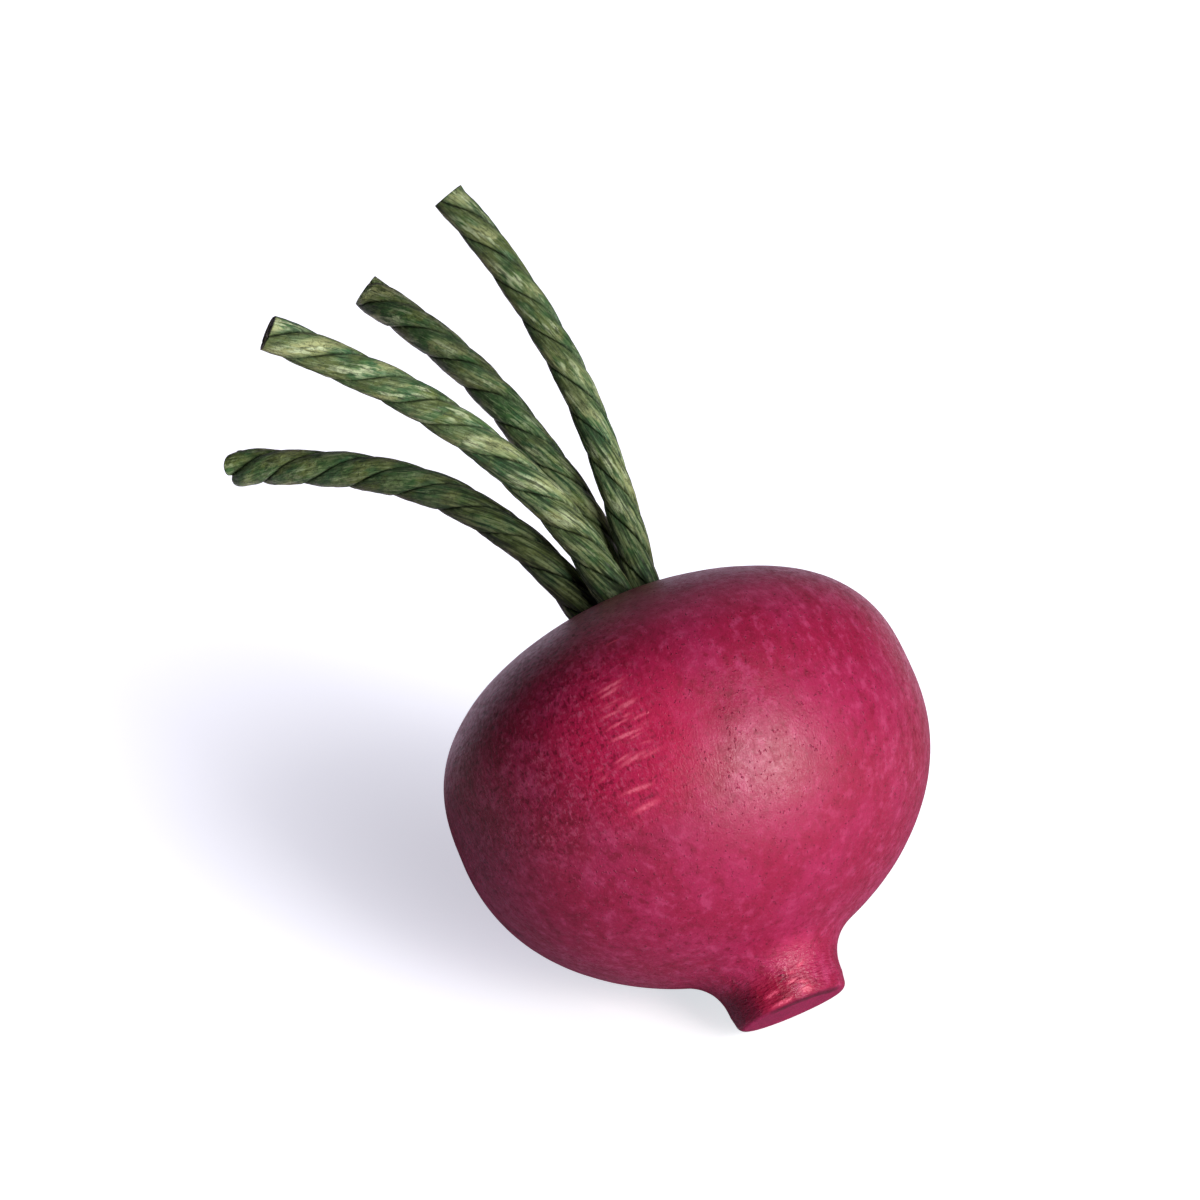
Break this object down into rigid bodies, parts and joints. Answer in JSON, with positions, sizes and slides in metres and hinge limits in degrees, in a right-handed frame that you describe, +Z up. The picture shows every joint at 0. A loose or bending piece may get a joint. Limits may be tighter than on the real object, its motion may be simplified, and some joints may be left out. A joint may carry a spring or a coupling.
{
  "type": "wooden toy beetroot",
  "caption": "Turned wooden play-food beetroot: a round bulb with a short root stub, and twisted paper-cord stems glued in a hole in its crown.",
  "frame": {"origin": "middle of the small flat on the belly that the bulb rests on, at the height of the resting surface", "axes": "+Z up as it rests; the turning axis lies in the XZ plane, with the root towards +X and down and the crown towards -X and up; +Y completes the right-handed frame"},
  "size_m": [0.0911, 0.055, 0.0802],
  "materials": {
    "stained_wood": "satin",
    "set_glue": "satin",
    "paper_upright": "matte",
    "paper_back": "matte",
    "paper_low": "matte",
    "paper_front": "matte"
  },
  "bodies": {
    "root": {"body": "stained_wood", "stem_glue": "set_glue", "stem_upright": "paper_upright", "stem_back": "paper_back", "stem_low": "paper_low", "stem_front": "paper_front"}
  },
  "joints": []
}
